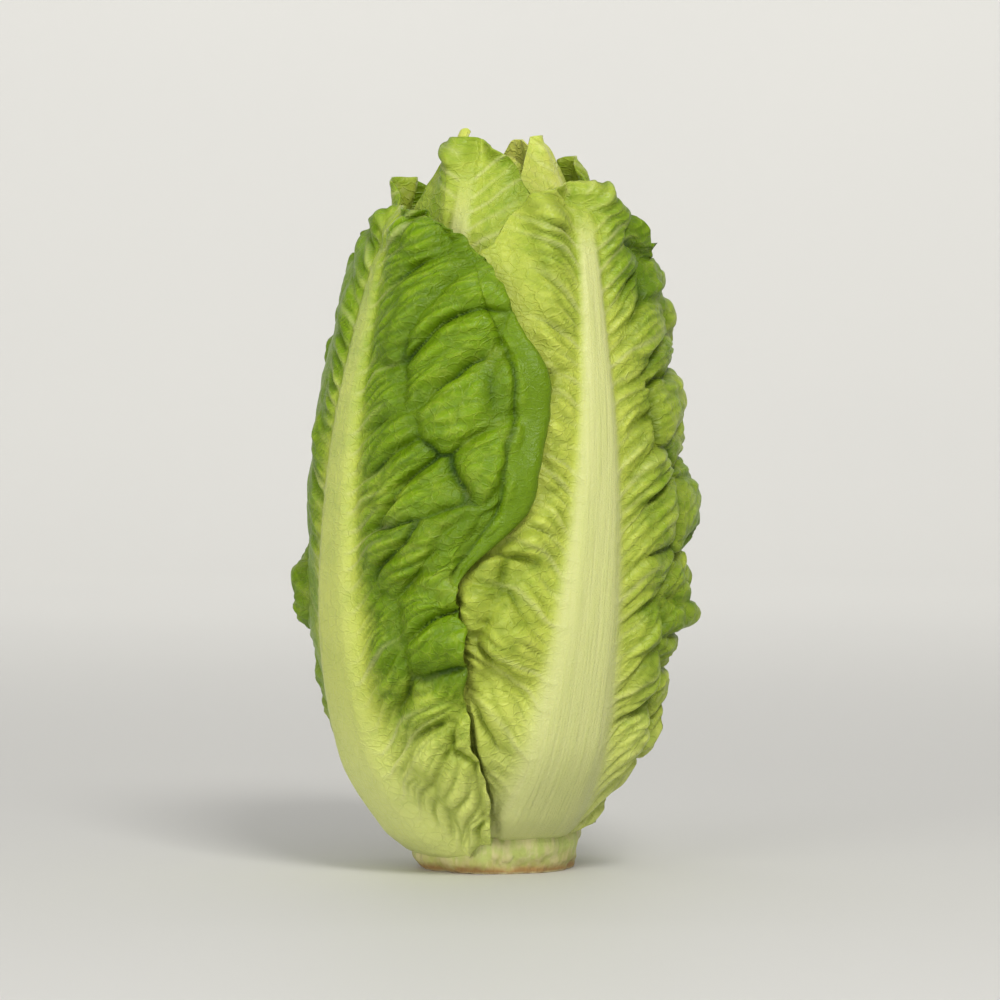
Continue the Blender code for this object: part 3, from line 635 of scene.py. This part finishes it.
bud = {
    "start": 41.6, "top": 127.0, "radius": 8.6, "waistPower": 1.15, "rounding": 0.7, "ends": (0.012, 0.988),
    "sides": 120, "rings": 100, "laps": 3, "lapRise": 1.1, "lapHeight": 1.1,
    "around": 4.0, "lapWander": 0.12, "wanderRise": 30.0, "lump": 0.6, "lumpRise": 14.0,
    "pleat": 0.28, "pleats": 27, "pleatTwist": 9.0, "pleatStart": (0.0, 0.25),
}


def addBud(finish):
    # A spindle: a rounded sine of the height share, less a saw tooth that runs round it in three spiral laps
    # with wavy edges, less fine pleats along each lap's little leaf, and less soft lumps.
    sides, share = bud["sides"], np.linspace(*bud["ends"], bud["rings"])[:, None]
    turn = np.linspace(0.0, 2.0 * math.pi, sides, endpoint=False)
    z = bud["start"] + (bud["top"] - bud["start"]) * share
    width = bud["radius"] * np.sin(math.pi * share ** bud["waistPower"]) ** bud["rounding"]
    aroundX, aroundY = bud["around"] * np.sin(turn) + 9.0, bud["around"] * np.cos(turn)
    wander = bud["lapWander"] * drift(aroundX, aroundY + bud["wanderRise"] * share, 67)
    lap = (bud["laps"] * turn / (2.0 * math.pi) + bud["lapRise"] * share + wander) % 1.0
    pleats = wave(bud["pleats"] * turn + bud["pleatTwist"] * share)
    pleat = bud["pleat"] * pleats * rise(lap, bud["pleatStart"])
    lump = bud["lump"] * (0.5 + 0.5 * drift(aroundX, aroundY + bud["lumpRise"] * share, 61))
    radius = width * (1.0 - (bud["lapHeight"] * lap + pleat + 0.5 * lump) / bud["radius"])
    rings = aboutAxis(radius, turn, z)
    up = share + 0.0 * turn
    masks = {"lap": np.append(lap.ravel(), [0.5, 0.5]), "up": np.append(up.ravel(), [0.0, 1.0])}
    low, high = (0.0, 0.0, bud["start"]), (0.0, 0.0, bud["top"])
    place(addTurned("bud_wrap", rings, low, high, finish, masks), "bud", "bud_leaf")


class Wire:  # a node's output with arithmetic: each operator adds one Math node
    def __init__(self, paint, socket):
        self.paint, self.socket = paint, socket

    def math(self, operation, first, second):
        return self.paint.node("ShaderNodeMath", {"operation": operation}, {0: first, 1: second})

    def __add__(self, other):
        return self.math("ADD", self, other)

    def __sub__(self, other):
        return self.math("SUBTRACT", self, other)

    def __rsub__(self, other):
        return self.math("SUBTRACT", other, self)

    def __mul__(self, other):
        return self.math("MULTIPLY", self, other)

    __radd__, __rmul__ = __add__, __mul__

    def rise(self, low, high):  # an S curve from 0 at low to 1 at high
        ends = {"Value": self, "From Min": low, "From Max": high}
        return self.paint.node("ShaderNodeMapRange", {"interpolation_type": "SMOOTHSTEP"}, ends)


class Paint:  # a material's nodes
    def __init__(self, name):
        self.material = bpy.data.materials.new(name)
        self.material.use_nodes = True
        self.tree = self.material.node_tree
        self.shader = self.tree.nodes["Principled BSDF"]

    def node(self, kind, settings, values, out=0):
        made = self.tree.nodes.new(kind)
        for word, value in settings.items():
            setattr(made, word, value)
        for word, value in values.items():
            self.put(made.inputs[word], value)
        return Wire(self, made.outputs[out])

    def put(self, socket, value):
        if isinstance(value, Wire):
            self.tree.links.new(value.socket, socket)
        else:
            socket.default_value = value

    def mask(self, word, out="Fac"):
        return self.node("ShaderNodeAttribute", {"attribute_name": word}, {}, out)

    def objectPlace(self):
        return self.node("ShaderNodeTexCoord", {}, {}, "Object")

    def blend(self, factor, colour, other):
        ends = [end if isinstance(end, Wire) else (*end, 1.0) for end in (colour, other)]
        return self.node("ShaderNodeMix", {"data_type": "RGBA"}, {0: factor, 6: ends[0], 7: ends[1]}, 2)

    def noise(self, vector, scale, detail=2.0, out="Fac"):
        return self.node("ShaderNodeTexNoise", {}, {"Vector": vector, "Scale": scale, "Detail": detail}, out)

    def stretched(self, vector, scale):
        return self.node("ShaderNodeVectorMath", {"operation": "MULTIPLY"}, {0: vector, 1: scale})

    def bump(self, height, distance):
        bump = self.node("ShaderNodeBump", {}, {"Height": height, "Distance": distance})
        self.put(self.shader.inputs["Normal"], bump)

    def finish(self, **sockets):
        for word, value in sockets.items():
            self.put(self.shader.inputs[word], value)
        return self.material


flesh = {
    "Subsurface Weight": 0.12, "Subsurface Radius": (1.0, 0.8, 0.3), "Subsurface Scale": 0.0015, "IOR": 1.4,
    "Specular IOR Level": 0.29,
}
# In each skin the two crease colours are painted shade for the leaves' creases, and the crease depth says how
# far it darkens them.
leafSkins = {
    "outer": {
        "pale": (0.49, 0.56, 0.085), "deep": (0.165, 0.29, 0.003), "foot": (0.66, 0.72, 0.22),
        "paleCreaseShade": (0.20, 0.27, 0.012), "deepCreaseShade": (0.018, 0.055, 0.001),
        "rib": (0.575, 0.60, 0.25), "ribShade": (0.50, 0.555, 0.18), "roll": (0.115, 0.205, 0.003),
        "creaseShadeDepth": 0.95, "net": 0.14, "roughness": 0.34,
    },
    "inner": {
        "pale": (0.60, 0.64, 0.13), "deep": (0.31, 0.46, 0.025), "foot": (0.66, 0.68, 0.26),
        "paleCreaseShade": (0.33, 0.39, 0.03), "deepCreaseShade": (0.06, 0.13, 0.004),
        "rib": (0.70, 0.72, 0.37), "ribShade": (0.60, 0.64, 0.24), "roll": (0.40, 0.50, 0.06),
        "creaseShadeDepth": 0.75, "net": 0.12, "roughness": 0.36,
    },
}

# The patterns of both leaf skins. A noise is given by its scale and its detail.
pattern = {
    "cloud": (1.6, 2.0), "mottle": (7.0, 3.0), "toneShare": 0.6, "grain": (34.0, 1.0), "streak": (1.6, 2.0),
    "streakStretch": (9.0, 0.5, 1.0), "streakStart": 0.35, "streakShare": 1.1,
    "netScale": 5.5, "netWidth": 0.14, "netStretch": (1.0, 1.25, 1.0),
    "netBend": (5.0, 1.0, "Color"), "netBendReach": (0.22, 0.22, 0.0),
    "rollShare": 0.95, "rollMottle": 0.8, "veinShare": 0.7, "ribEdge": 0.75,
    "netBump": 0.3, "rollBump": 0.5, "grainBump": 0.35, "streakBump": 0.9, "bump": 0.0003,
    "mottleRough": 0.25, "creaseRough": 0.15,
}


def leafSkin(name, look):
    # The blade goes from pale to deep by the green mask, with a fine pale net of veins, and painted shade
    # darkens it down the creases. Over it lie the smooth roll, the larger veins, and the striped rib.
    paint = Paint(name)
    where = paint.mask("place", "Vector")
    words = ("rib", "green", "creaseShade", "vein", "roll", "foot")
    rib, green, creaseShade, vein, roll, foot = (paint.mask(word) for word in words)
    cloud, mottle = paint.noise(where, *pattern["cloud"]), paint.noise(where, *pattern["mottle"])
    bent = paint.node("ShaderNodeVectorMath", {"operation": "MULTIPLY_ADD"}, {
        0: paint.noise(where, *pattern["netBend"]),
        1: pattern["netBendReach"],
        2: paint.stretched(where, pattern["netStretch"]),
    })
    cells = {"Vector": bent, "Scale": pattern["netScale"]}
    edges = paint.node("ShaderNodeTexVoronoi", {"feature": "DISTANCE_TO_EDGE"}, cells)
    net = edges.rise(pattern["netWidth"], 0.0)
    grain = paint.noise(where, *pattern["grain"])
    streak = paint.noise(paint.stretched(where, pattern["streakStretch"]), *pattern["streak"])
    tone = green + (cloud - 0.5) * pattern["toneShare"] + (mottle - 0.5) * pattern["toneShare"]
    tone = tone.rise(0.0, 1.0)
    blade = paint.blend(tone, paint.blend(foot, look["pale"], look["foot"]), look["deep"])
    # Painted shade: the colours that the creases are darkened towards.
    shade = paint.blend(tone, look["paleCreaseShade"], look["deepCreaseShade"])
    netted = paint.blend(net * look["net"] * (1.0 - creaseShade), blade, look["pale"])
    creaseShaded = paint.blend(creaseShade * look["creaseShadeDepth"], netted, shade)
    rollShare = roll * (pattern["rollShare"] - (mottle - 0.5) * pattern["rollMottle"])
    rolled = paint.blend(rollShare, creaseShaded, look["roll"])
    veined = paint.blend(vein * pattern["veinShare"], rolled, look["rib"])
    stripe = (streak - pattern["streakStart"]) * pattern["streakShare"]
    striped = paint.blend(stripe, look["rib"], look["ribShade"])
    whole = paint.blend(rib.rise(0.0, pattern["ribEdge"]), veined, striped)
    netBump = net * pattern["netBump"] * (1.0 - rib) * (1.0 - roll * pattern["rollBump"])
    paint.bump(netBump + grain * pattern["grainBump"] + streak * rib * pattern["streakBump"], pattern["bump"])
    rough = (mottle - 0.5) * pattern["mottleRough"] + look["roughness"] + creaseShade * pattern["creaseRough"]
    return paint.finish(**flesh, **{"Base Color": whole, "Roughness": rough})


# Distances in pairs are millimetres from the axis, or up from the cut.
stemSkin = {
    "flesh": (0.66, 0.62, 0.36), "pith": (0.78, 0.77, 0.58), "ring": (0.42, 0.30, 0.13),
    "stain": (0.36, 0.17, 0.06), "side": (0.47, 0.54, 0.16), "old": (0.60, 0.57, 0.28),
    "rim": (0.36, 0.22, 0.08),
    "wander": 3.0, "pithEdge": (3.0, 8.0), "ringStart": (8.4, 9.4), "ringEnd": (9.8, 11.0), "ringShare": 0.8,
    "bundleScale": 620.0, "bundleEdge": (0.42, 0.2), "bundleBump": 0.3,
    "stainStart": (9.0, 14.5), "stainWander": 1.6, "stainPatch": (0.35, 0.65), "stainShare": 0.55,
    "fibreStretch": (7.0, 7.0, 0.8), "fibreBump": 1.5, "sideEdge": (0.3, 0.75),
    "rimLine": (2.0, 0.3), "lineWander": 0.8, "lineShare": 0.75,
    "blush": (5.4, 2.2), "blushWander": 1.8, "blushFibre": 2.0, "blushShare": 0.35,
    "bump": 0.0002, "roughness": 0.4, "roughShare": 0.25,
}


def stemFinish(name):
    # On the cut face: pale pith, a ring of bundles, and a rusty stain that thickens towards the rim. The side
    # is greener and fibrous, with a browned line and a blush just above the cut.
    paint, look = Paint(name), stemSkin
    spot = paint.objectPlace()
    flat = paint.stretched(spot, (1.0, 1.0, 0.0))
    out = paint.node("ShaderNodeVectorMath", {"operation": "LENGTH"}, {0: flat}, "Value") * (1.0 / mm)
    up = paint.node("ShaderNodeSeparateXYZ", {}, {"Vector": spot}, "Z") * (1.0 / mm)
    wander = (paint.noise(spot, 260.0, 3.0) - 0.5) * look["wander"]
    ring = (out + wander).rise(*look["ringStart"]) * (1.0 - (out + wander).rise(*look["ringEnd"]))
    cells = {"Vector": flat, "Scale": look["bundleScale"]}
    bundles = paint.node("ShaderNodeTexVoronoi", {"feature": "F1"}, cells).rise(*look["bundleEdge"])
    stain = (out + wander * look["stainWander"]).rise(*look["stainStart"])
    stain = stain * paint.noise(spot, 420.0, 4.0).rise(*look["stainPatch"])
    face = paint.blend(out.rise(*look["pithEdge"]), look["pith"], look["flesh"])
    face = paint.blend(ring * bundles * look["ringShare"], face, look["ring"])
    face = paint.blend(stain * look["stainShare"], face, look["stain"])
    fibres = paint.noise(paint.stretched(spot, look["fibreStretch"]), 130.0, 3.0)
    old = (paint.noise(spot, 300.0, 3.0) + fibres - 0.5).rise(*look["sideEdge"])
    line = (up + wander * look["lineWander"]).rise(*look["rimLine"]) * look["lineShare"]
    blush = (up + wander * look["blushWander"] + fibres * look["blushFibre"]).rise(*look["blush"])
    side = paint.blend(old, look["side"], look["old"])
    browned = paint.blend(line + blush * look["blushShare"], side, look["rim"])
    whole = paint.blend(paint.mask("face"), browned, face)
    height = paint.noise(spot, 900.0, 3.0) + bundles * look["bundleBump"] + fibres * look["fibreBump"]
    paint.bump(height, look["bump"])
    rough = paint.noise(spot, 500.0) * look["roughShare"] + look["roughness"]
    return paint.finish(**flesh, **{"Base Color": whole, "Roughness": rough})


budSkin = {
    "pale": (0.74, 0.75, 0.27), "tip": (0.62, 0.68, 0.15), "shade": (0.46, 0.50, 0.09),
    "tipStart": (0.55, 1.0), "tipCloud": 0.4, "lapEdge": (0.75, 1.0), "lapShare": 0.7, "lapCloud": 0.2,
    "pleatStretch": (6.0, 6.0, 1.0), "bump": 0.0003, "roughness": 0.32, "roughShare": 0.2,
}


def budFinish(name):
    # Pale yellow, greener towards the tip, darker under the edge of each lap.
    paint, look = Paint(name), budSkin
    spot = paint.objectPlace()
    cloud = paint.noise(spot, 240.0, 4.0)
    tip = (paint.mask("up") + (cloud - 0.5) * look["tipCloud"]).rise(*look["tipStart"])
    under = paint.mask("lap").rise(*look["lapEdge"]) * look["lapShare"] + (cloud - 0.5) * look["lapCloud"]
    whole = paint.blend(under, paint.blend(tip, look["pale"], look["tip"]), look["shade"])
    paint.bump(paint.noise(paint.stretched(spot, look["pleatStretch"]), 130.0, 3.0), look["bump"])
    rough = cloud * look["roughShare"] + look["roughness"]
    return paint.finish(**flesh, **{"Base Color": whole, "Roughness": rough})


leaves = [leafFacts(index) for index in range(spiral["leaves"])]
leafFinishes = {kind: leafSkin(kind + "LeafSkin", look) for kind, look in leafSkins.items()}
for leaf in leaves:
    addLeaf(leaf, leaves[: leaf["index"]], leafFinishes[leafKind(leaf)])
print("leaves built:", len(leaves))
addStem(leaves, stemFinish("stemFlesh"))
addBud(budFinish("budSkin"))
print("stem and bud built")


# The floor is a wide dish whose wall rises in a quarter round, so that no horizon shows from any side.
dish = {
    "flat": 1500.0, "firstRing": 0.5, "round": 900.0, "wall": 600.0, "sides": 96, "rings": 24,
    "colour": (0.62, 0.62, 0.605), "tint": (0.60, 0.60, 0.59), "roughness": 0.6,
}


def addFloor():  # a profile of floor, quarter round and wall, turned round Z
    bend = np.linspace(0.0, math.pi / 2, dish["rings"])
    first, rim = dish["flat"] * dish["firstRing"], dish["flat"] + dish["round"]
    radius = np.concatenate([[first], dish["flat"] + dish["round"] * np.sin(bend), [rim]])[:, None]
    z = np.concatenate([[0.0], dish["round"] * (1.0 - np.cos(bend)), [dish["round"] + dish["wall"]]])[:, None]
    turn = np.linspace(0.0, 2.0 * math.pi, dish["sides"], endpoint=False)
    rings = aboutAxis(radius, turn, z)
    points = np.concatenate([rings.reshape(-1, 3), [(0.0, 0.0, 0.0)]])
    quads = gridQuads(len(radius), dish["sides"], flip=True, wrap=True)
    j = np.arange(dish["sides"])
    middle = np.stack([np.full(dish["sides"], len(points) - 1), j, (j + 1) % dish["sides"]], axis=-1)
    paint = Paint("paleFloor")
    colour = paint.blend(paint.noise(paint.objectPlace(), 3.0, 1.0), dish["colour"], dish["tint"])
    finish = paint.finish(**{"Base Color": colour, "Roughness": dish["roughness"]})
    floor = addPiece("floor", points, quads, middle, finish, {})


addFloor()

lamps = {  # place, target, width, height and watts of each soft lamp
    "key": ((0.28, -0.80, 0.85), (0.0, 0.0, 0.07), 0.32, 0.32, 8.0),
    "fill": ((-0.65, -0.80, 0.18), (0.0, 0.0, 0.07), 0.6, 0.5, 4.4),
    "wall": ((0.0, 0.9, 1.7), (0.0, 2.6, 0.5), 1.5, 0.6, 28.0),
    "frontWall": ((0.0, -1.1, 1.7), (0.0, -2.6, 0.5), 1.5, 0.6, 22.0),
}
lampColour = (1.0, 0.98, 0.94)


def pointedAt(spot, target):  # the turn that makes local -Z look from spot to target
    away = np.array(spot) - np.array(target)
    return math.atan2(math.hypot(away[0], away[1]), away[2]), 0.0, math.atan2(away[0], -away[1])


for word, (spot, target, width, height, watts) in lamps.items():
    lamp = bpy.data.lights.new(word + "Lamp", "AREA")
    lamp.shape, lamp.size, lamp.size_y, lamp.energy = "RECTANGLE", width, height, watts
    lamp.color = lampColour
    holder = bpy.data.objects.new(word + "Lamp", lamp)
    holder.location, holder.rotation_euler = spot, pointedAt(spot, target)
    bpy.context.scene.collection.objects.link(holder)

room = {"Color": (1.0, 0.99, 0.97, 1.0), "Strength": 0.40}
world = bpy.data.worlds.new("softRoom")
world.use_nodes = True
for word, value in room.items():
    world.node_tree.nodes["Background"].inputs[word].default_value = value
bpy.context.scene.world = world

view = {"place": (0.0, -0.80, 0.085), "target": (0.0, 0.0, 0.0705), "lens": 150.0, "film": 36.0}
camera = bpy.data.objects.new("camera", bpy.data.cameras.new("camera"))
camera.data.lens, camera.data.sensor_width = view["lens"], view["film"]
camera.location, camera.rotation_euler = view["place"], pointedAt(view["place"], view["target"])
bpy.context.scene.collection.objects.link(camera)
bpy.context.scene.camera = camera
bpy.context.scene.view_settings.view_transform = "Standard"
print("floor, lamps and camera placed")
